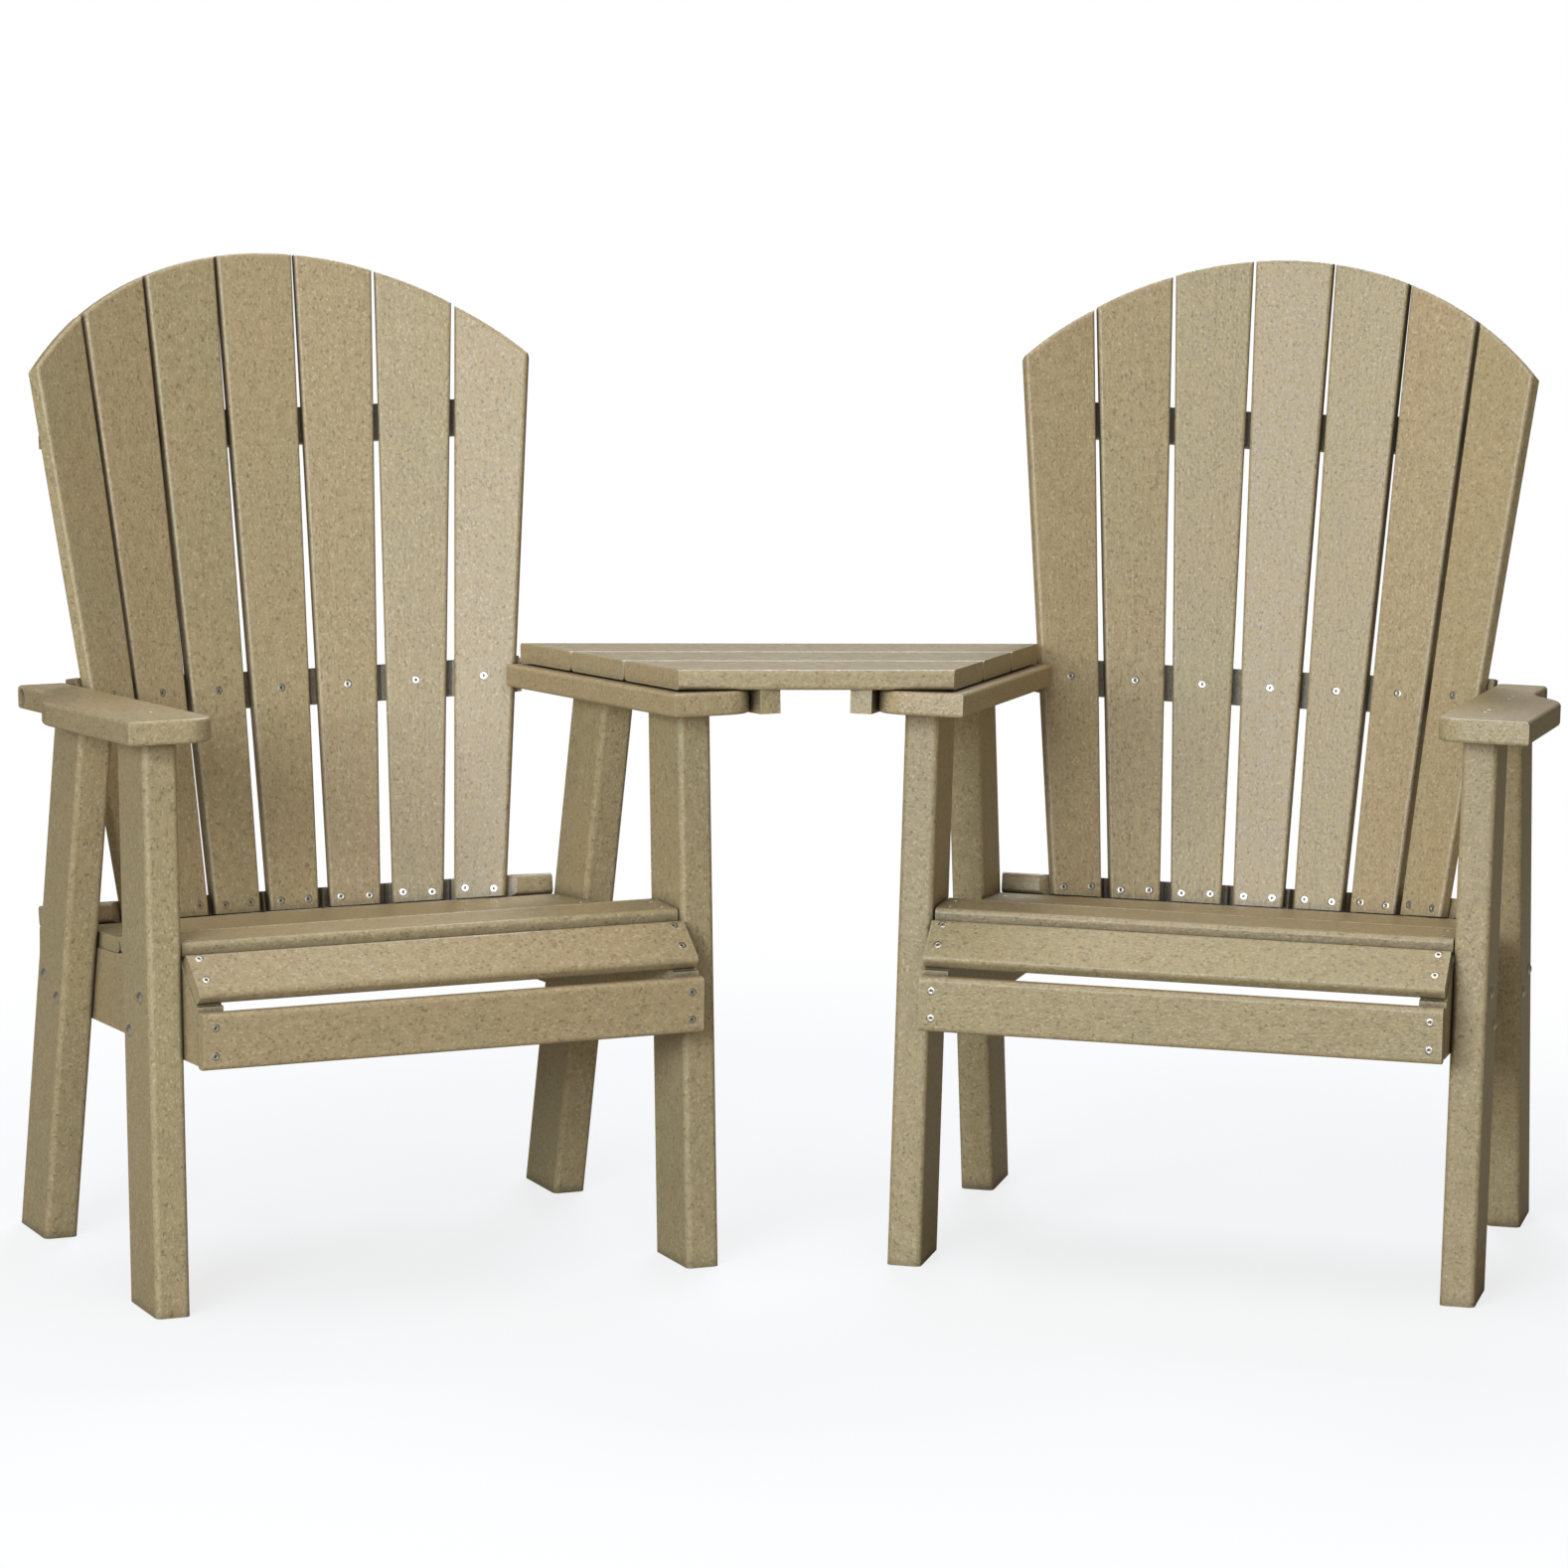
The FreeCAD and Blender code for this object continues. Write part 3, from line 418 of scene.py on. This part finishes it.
# screws and bolts: the axis is the long direction, out through the thicker end, which is the head
def shankedPlaces(node):
    places = []
    for points in fastenerSolids(node):
        centre = points.mean(0)
        axis = np.linalg.eigh(np.cov((points - centre).T))[1][:, 2]
        travel = points @ axis
        low, high = travel.min(), travel.max()
        share = fastenerLook["endShare"] * (high - low)
        radial = np.linalg.norm(points - centre - np.outer((points - centre) @ axis, axis), axis=1)
        if radial[travel < low + share].max() > radial[travel > high - share].max():
            axis, low, high = -axis, -high, -low
            travel = -travel
        tip = np.abs(travel - low) < fastenerLook["tipReach"]
        onAxis = points[tip].mean(0)  # the tip is round about the axis
        top = onAxis + axis * (high - onAxis @ axis)
        places.append((top, axis, high - low))
    return places


# washers and nuts: the axis is that of the bolt they sit on, away from its head
def flatPlaces(node, bolts):
    places = []
    for points in fastenerSolids(node):
        middle = (points.max(0) + points.min(0)) / 2
        nearest = min(bolts, key=lambda bolt: np.linalg.norm(np.cross(middle - bolt[0], bolt[1])))
        axis = -nearest[1]
        travel = points @ axis
        places.append((middle + axis * (travel.min() - middle @ axis), axis, travel.max() - travel.min()))
    return places


def finishMesh(name, build, sharpAngle):
    mesh = bpy.data.meshes.new(name)
    bmesh.ops.recalc_face_normals(build, faces=build.faces)
    build.to_mesh(mesh)
    build.free()
    mesh.shade_smooth()
    mesh.set_sharp_from_angle(angle=math.radians(sharpAngle))
    shape = bpy.data.objects.new(name, mesh)
    scene.collection.objects.link(shape)
    return shape


# faces from one ring of vertices to the next, where a single vertex is a pole
def joinRings(build, lower, upper):
    sides = max(len(lower), len(upper))
    for step in range(sides):
        after = (step + 1) % sides
        if len(upper) == 1:
            build.faces.new((lower[step], lower[after], upper[0]))
        elif len(lower) == 1:
            build.faces.new((lower[0], upper[after], upper[step]))
        else:
            build.faces.new((lower[step], lower[after], upper[after], upper[step]))


# a ring of vertices for each point of the profile, joined into a turned surface
def turnProfile(build, profile, sides):
    rings = []
    for radius, height in profile:
        if radius == 0:
            rings.append([build.verts.new((0, 0, height))])
            continue
        ring = []
        for step in range(sides):
            angle = 2 * math.pi * step / sides
            reach = radius(angle) if callable(radius) else radius
            ring.append(build.verts.new((reach * math.cos(angle), reach * math.sin(angle), height)))
        rings.append(ring)
    for lower, upper in zip(rings, rings[1:]):
        joinRings(build, lower, upper)
    return rings


# a flat ring with the same profile at both faces
def turnFlat(name, look, profile, thickness):
    build = bmesh.new()
    profile = profile + [(radius, thickness - height) for radius, height in reversed(profile)]
    rings = turnProfile(build, profile, look["sides"])
    joinRings(build, rings[-1], rings[0])
    return finishMesh(name, build, look["sharpAngle"])


# wood screw with a slightly domed head, a square recess and a thread
screwLook = {
    "sides": 20,
    "sharpAngle": 35.0,
    "headRadius": 0.0045,
    "headEdge": 0.0005,  # rim of the head below the surface
    "headDome": 0.0001,  # crown of the head below the surface
    "headRim": ((0.0001, -0.0006), (0.0, -0.0002), (0.0003, 0.0001)),  # in from the rim, and up
    "shoulder": 0.72,  # share of the head's radius where the dome flattens
    "coneHeight": 0.0026,
    "coneFoot": 0.0012,
    "neckEnd": 0.0075,
    "shankRadius": 0.0021,
    "threadEnd": 0.009,  # below the surface, where the thread stops
    "threadPitch": 0.0034,
    "threadDepth": 0.0007,
    "crestAt": 0.35,  # shares of the pitch
    "rootAt": 0.75,
    "tipLength": 0.006,
    "tipRadius": 0.0011,
    "recessHalf": 0.0014,
    "recessDepth": 0.0017,
    "recessRing": 1.5,  # the ring round the recess, as a share of its half width
    "recessRim": 0.0002,
    "recessTaper": 0.75,
    "recessPoint": 0.0003,
}


def screwShape(name, length):
    look = screwLook
    build = bmesh.new()
    sunk = build.verts.layers.float.new("sunk")
    head, edge, dome, shank = look["headRadius"], look["headEdge"], look["headDome"], look["shankRadius"]
    height = -length + look["tipLength"]
    profile = [(0.0, -length), (look["tipRadius"], height)]
    while height + look["threadPitch"] < -look["threadEnd"]:
        profile.append((shank, height + look["crestAt"] * look["threadPitch"]))
        profile.append((shank - look["threadDepth"], height + look["rootAt"] * look["threadPitch"]))
        height += look["threadPitch"]
    profile += [(shank, -look["neckEnd"]), (shank, -look["coneHeight"] - look["coneFoot"])]
    profile += [(head - inwards, -edge + up) for inwards, up in look["headRim"]]
    profile.append((head * look["shoulder"], -(edge + 2 * dome) / 3))
    profile.append((look["recessHalf"] * look["recessRing"], -dome))
    rings = turnProfile(build, profile, look["sides"])
    mouth, floor = [], []
    taper = look["recessTaper"]
    for step in range(look["sides"]):
        angle = 2 * math.pi * step / look["sides"]
        reach = look["recessHalf"] / max(abs(math.cos(angle)), abs(math.sin(angle)))  # round a square
        x, y = reach * math.cos(angle), reach * math.sin(angle)
        mouth.append(build.verts.new((x, y, -dome - look["recessRim"])))
        floor.append(build.verts.new((x * taper, y * taper, -look["recessDepth"])))
        floor[-1][sunk] = 1.0
    bottom = build.verts.new((0, 0, -look["recessDepth"] - look["recessPoint"]))
    bottom[sunk] = 1.0
    joinRings(build, rings[-1], mouth)
    joinRings(build, mouth, floor)
    joinRings(build, floor, [bottom])
    return finishMesh(name, build, look["sharpAngle"])


# carriage bolt: shallow dome, plain shank, threaded and chamfered end
boltLook = {
    "sides": 28,
    "sharpAngle": 50.0,
    "domeRadius": 0.0070,
    "domeHeight": 0.0035,
    "domeSteps": (0.92, 0.8, 0.62, 0.4, 0.18),  # shares of its radius
    "domeRim": (0.0002, 0.0003),
    "neckEnd": 0.003,
    "shankRadius": 0.0031,
    "threadSteps": 9,
    "threadStart": 0.0015,
    "threadStep": 0.0011,
    "threadDepth": 0.0003,
    "endChamfer": (0.0006, 0.0008),
}


def boltShape(name, length):
    look = boltLook
    build = bmesh.new()
    radius, height, shank = look["domeRadius"], look["domeHeight"], look["shankRadius"]
    end = -length + height
    profile = [(0.0, end), (shank - look["endChamfer"][0], end), (shank, end + look["endChamfer"][1])]
    for step in range(look["threadSteps"]):
        depth = look["threadDepth"] * (step % 2)
        profile.append((shank - depth, end + look["threadStart"] + look["threadStep"] * step))
    profile += [(shank, -look["neckEnd"]), (shank, 0.0)]
    profile += [(radius - look["domeRim"][0], 0.0), (radius, look["domeRim"][1])]
    ball = (radius ** 2 + height ** 2) / (2 * height)
    for step in look["domeSteps"]:
        reach = radius * step
        profile.append((reach, height - ball + math.sqrt(ball ** 2 - reach ** 2)))
    profile.append((0.0, height))
    turnProfile(build, profile, look["sides"])
    for vert in build.verts:
        vert.co.z -= height
    return finishMesh(name, build, look["sharpAngle"])


washerLook = {
    "sides": 32,
    "sharpAngle": 35.0,
    "outer": 0.0080,
    "bore": 0.0034,
    "rounding": 0.0003,
}


def washerShape(name, thickness):
    look = washerLook
    outer, bore, edge = look["outer"], look["bore"], look["rounding"]
    profile = [(bore, edge), (bore + edge, 0.0), (outer - edge, 0.0), (outer, edge)]
    return turnFlat(name, look, profile, thickness)


# hexagon nut with the corners turned off top and bottom
nutLook = {
    "sides": 36,
    "sharpAngle": 28.0,
    "flatHalf": 0.00555,  # half the width over the flats
    "corner": 0.00635,
    "cornerDrop": 0.0007,
    "face": 0.0050,
    "bore": 0.0032,
    "boreChamfer": 0.0004,
}


def nutShape(name, thickness):
    look = nutLook

    def hexagon(angle):
        turned = (angle + math.pi / 6) % (math.pi / 3) - math.pi / 6
        return min(look["flatHalf"] / math.cos(turned), look["corner"])

    bore, chamfer = look["bore"], look["boreChamfer"]
    profile = [(bore, chamfer), (bore + chamfer, 0.0), (look["face"], 0.0), (hexagon, look["cornerDrop"])]
    return turnFlat(name, look, profile, thickness)


# one shape at every place, turned about its axis at random, made one plain mesh
def makeScatter():
    group, groupIn, groupOut = newGroup(
        "fastenerScatter", "GeometryNodeTree",
        [("Geometry", "NodeSocketGeometry", None), ("Shape", "NodeSocketObject", None),
         ("Material", "NodeSocketMaterial", None), ("Turn", "NodeSocketFloat", 1.0),
         ("Seed", "NodeSocketInt", 0)],
        [("Geometry", "NodeSocketGeometry")],
    )
    aim = addNode(group, "GeometryNodeInputNamedAttribute", (-800, -200), data_type="FLOAT_VECTOR")
    aim.inputs["Name"].default_value = "aim"
    align = addNode(group, "FunctionNodeAlignRotationToVector", (-500, -200), axis="Z")
    group.links.new(aim.outputs["Attribute"], align.inputs["Vector"])
    spin = addNode(group, "FunctionNodeRandomValue", (-800, -450), data_type="FLOAT")
    spin.inputs[2].default_value = 0.0
    spin.inputs[3].default_value = 2 * math.pi
    group.links.new(groupIn.outputs["Seed"], spin.inputs["Seed"])
    turn = addMath(group, "MULTIPLY", (-500, -450), spin.outputs[1], groupIn.outputs["Turn"])
    about = addNode(group, "ShaderNodeCombineXYZ", (-300, -450))
    group.links.new(turn, about.inputs[2])
    turned = addNode(group, "FunctionNodeRotateRotation", (-200, -200), rotation_space="LOCAL")
    group.links.new(align.outputs[0], turned.inputs[0])
    group.links.new(about.outputs[0], turned.inputs[1])
    shape = addNode(group, "GeometryNodeObjectInfo", (-500, 200), transform_space="ORIGINAL")
    group.links.new(groupIn.outputs["Shape"], shape.inputs["Object"])
    spread = addNode(group, "GeometryNodeInstanceOnPoints", (100, 0))
    group.links.new(groupIn.outputs["Geometry"], spread.inputs["Points"])
    group.links.new(shape.outputs["Geometry"], spread.inputs["Instance"])
    group.links.new(turned.outputs[0], spread.inputs["Rotation"])
    realize = addNode(group, "GeometryNodeRealizeInstances", (400, 0))
    group.links.new(spread.outputs[0], realize.inputs[0])
    paint = addNode(group, "GeometryNodeSetMaterial", (700, 0))
    group.links.new(realize.outputs[0], paint.inputs["Geometry"])
    group.links.new(groupIn.outputs["Material"], paint.inputs["Material"])
    group.links.new(paint.outputs[0], groupOut.inputs[0])
    return group


fastenerScatter = makeScatter()


def scatterFasteners(nodeName, pieceName, places, shape, turn=1.0):
    mesh = bpy.data.meshes.new(pieceName + "Points")
    mesh.from_pydata([tuple(place[0]) for place in places], [], [])
    aim = mesh.attributes.new("aim", "FLOAT_VECTOR", "POINT")
    aim.data.foreach_set("vector", np.array([place[1] for place in places], dtype=np.float32).ravel())
    holder = bpy.data.objects.new(pieceName + "Points", mesh)
    scene.collection.objects.link(holder)
    modifier = holder.modifiers.new("scatter", "NODES")
    modifier.node_group = fastenerScatter
    values = {"Shape": shape, "Material": stainlessSteel, "Turn": turn, "Seed": fastenerLook["seed"]}
    for item in fastenerScatter.interface.items_tree:
        if item.in_out == "INPUT" and item.name in values:
            modifier[item.identifier] = values[item.name]
    bpy.context.view_layer.update()
    evaluated = holder.evaluated_get(bpy.context.evaluated_depsgraph_get())
    result = bpy.data.meshes.new_from_object(evaluated)
    result.name = pieceName
    piece = bpy.data.objects.new(pieceName, result)
    scene.collection.objects.link(piece)
    bpy.data.objects.remove(holder)
    bpy.data.objects.remove(shape)
    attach(piece, "root")
    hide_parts(nodeName)


def makeFasteners():
    for nodeName in screwNodes:
        places = shankedPlaces(nodes[nodeName])
        length = places[0][2]
        scatterFasteners(nodeName, nodeName + "_turned", places, screwShape(nodeName + "Shape", length))
        print(nodeName, len(places), "length", round(length, 4))
    bolts = shankedPlaces(nodes["leg_bolts"])
    washers = flatPlaces(nodes["leg_bolt_washers"], bolts)
    nuts = flatPlaces(nodes["leg_bolt_nuts"], bolts)
    scatterFasteners("leg_bolts", "leg_bolts_domed", bolts, boltShape("boltShape", bolts[0][2]))
    washer = washerShape("washerShape", washers[0][2])
    scatterFasteners("leg_bolt_washers", "leg_bolt_washers_rounded", washers, washer)
    nut = nutShape("nutShape", nuts[0][2])
    scatterFasteners("leg_bolt_nuts", "leg_bolt_nuts_hexagon", nuts, nut, turn=0.0)
    print("bolts, washers, nuts:", len(bolts), len(washers), len(nuts))


makeFasteners()


# studio floor: shaded round the bench, plain white further out
floorLook = {
    "colour": (0.93, 0.93, 0.93, 1.0),
    "bounce": (0.35, 0.30, 0.21, 1.0),  # what the floor gives back to the boards
    "plain": 0.78,  # share of plain white round the bench, where the camera sees the floor
    "shadowReach": (0.9, 1.8),  # metres from the middle: where the share begins to rise, where it is whole
    "reach": 60.0,
    "drop": 0.0005,  # below the feet
}


def makeFloor():
    look = floorLook
    mesh = bpy.data.meshes.new("studioFloor")
    corners = [(x * look["reach"], y * look["reach"], 0) for x, y in ((-1, -1), (1, -1), (1, 1), (-1, 1))]
    mesh.from_pydata(corners, [], [(0, 1, 2, 3)])
    floor = bpy.data.objects.new("studioFloor", mesh)
    scene.collection.objects.link(floor)
    floor.location.z = -look["drop"]
    material, tree = newMaterial("studioWhite")
    output = addNode(tree, "ShaderNodeOutputMaterial", (900, 0))
    painted = addNode(tree, "ShaderNodeBsdfDiffuse", (0, 200))
    painted.inputs["Color"].default_value = look["colour"]
    bounce = addNode(tree, "ShaderNodeBsdfDiffuse", (0, 400))
    bounce.inputs["Color"].default_value = look["bounce"]
    plain = addNode(tree, "ShaderNodeEmission", (0, 0))
    place = addNode(tree, "ShaderNodeTexCoord", (-900, -200))
    distance = addNode(tree, "ShaderNodeVectorMath", (-600, -200), operation="LENGTH")
    tree.links.new(place.outputs["Object"], distance.inputs[0])
    fade = addNode(tree, "ShaderNodeMapRange", (-300, -200), interpolation_type="SMOOTHSTEP")
    tree.links.new(distance.outputs["Value"], fade.inputs["Value"])
    fade.inputs["From Min"].default_value, fade.inputs["From Max"].default_value = look["shadowReach"]
    fade.inputs["To Min"].default_value = look["plain"]
    mix = addNode(tree, "ShaderNodeMixShader", (300, 0))
    tree.links.new(fade.outputs[0], mix.inputs[0])
    tree.links.new(painted.outputs[0], mix.inputs[1])
    tree.links.new(plain.outputs[0], mix.inputs[2])
    path = addNode(tree, "ShaderNodeLightPath", (-300, 500))
    seen = addNode(tree, "ShaderNodeMixShader", (600, 100))
    tree.links.new(path.outputs["Is Camera Ray"], seen.inputs[0])
    tree.links.new(bounce.outputs[0], seen.inputs[1])
    tree.links.new(mix.outputs[0], seen.inputs[2])
    tree.links.new(seen.outputs[0], output.inputs["Surface"])
    mesh.materials.append(material)


# white where the camera sees it, dim where it lights the bench
worldLook = {
    "colour": (1.0, 1.0, 1.0, 1.0),
    "seen": 1.0,
    "lit": 0.12,
}


def makeWorld():
    world = bpy.data.worlds.new("studioWorld")
    world.use_nodes = True
    scene.world = world
    tree = world.node_tree
    tree.nodes.clear()
    output = addNode(tree, "ShaderNodeOutputWorld", (600, 0))
    path = addNode(tree, "ShaderNodeLightPath", (-300, 300))
    mix = addNode(tree, "ShaderNodeMixShader", (300, 0))
    tree.links.new(path.outputs["Is Camera Ray"], mix.inputs[0])
    for index, strength in ((1, "lit"), (2, "seen")):
        sky = addNode(tree, "ShaderNodeBackground", (0, 300 - 200 * index))
        setInputs(sky, {"Color": worldLook["colour"], "Strength": worldLook[strength]})
        tree.links.new(sky.outputs[0], mix.inputs[index])
    tree.links.new(mix.outputs[0], output.inputs["Surface"])


# cool lamps, so that the sheen is silvery and the shade warm; lengths in metres, power in watts
coolWhite = (0.86, 0.98, 1.12)
plainWhite = (1.0, 1.0, 1.0)
lampLook = {
    "keyLamp": {"at": (-2.9, -5.0, 2.1), "target": (0.0, 0.0, 0.6), "size": (3.0, 1.6),
                "power": 246.0, "colour": coolWhite},
    "fillLamp": {"at": (0.2, -5.6, 1.5), "target": (0.0, 0.0, 0.6), "size": (2.2, 1.4),
                 "power": 46.0, "colour": coolWhite},
    "topLamp": {"at": (-0.6, -0.6, 4.0), "target": (0.0, 0.0, 0.0), "size": (3.0, 2.4),
                "power": 62.0, "colour": plainWhite},
    "rearLamp": {"at": (0.9, 3.6, 4.0), "target": (0.0, 0.0, 0.6), "size": (2.4, 1.4),
                 "power": 130.0, "colour": coolWhite},
}


def addLamp(name, look):
    lamp = bpy.data.lights.new(name, "AREA")
    lamp.color = look["colour"]
    lamp.shape = "RECTANGLE"
    lamp.size, lamp.size_y = look["size"]
    lamp.energy = look["power"]
    holder = bpy.data.objects.new(name, lamp)
    holder.location = look["at"]
    holder.rotation_euler = (Vector(look["target"]) - Vector(look["at"])).to_track_quat("-Z", "Y").to_euler()
    scene.collection.objects.link(holder)


makeFloor()
makeWorld()
for name, look in lampLook.items():
    addLamp(name, look)


# camera at the photograph's angle
cameraLook = {
    "place": (-0.6542, -6.7224, 1.6461),
    "right": (0.995652, -0.092001, 0.014568),
    "up": (0.000907, 0.165967, 0.986131),
    "forward": (0.093142, 0.981831, -0.165329),
    "lens": 142.3,
    "sensor": 36.0,
}


def makeCamera():
    camera = bpy.data.cameras.new("photoCamera")
    camera.lens = cameraLook["lens"]
    camera.sensor_width = cameraLook["sensor"]
    holder = bpy.data.objects.new("photoCamera", camera)
    right, up, forward = (Vector(cameraLook[key]).normalized() for key in ("right", "up", "forward"))
    turn = Matrix((right, up, -forward)).transposed()
    holder.matrix_world = Matrix.Translation(cameraLook["place"]) @ turn.to_4x4()
    scene.collection.objects.link(holder)
    scene.camera = holder


makeCamera()
print("studio ready")
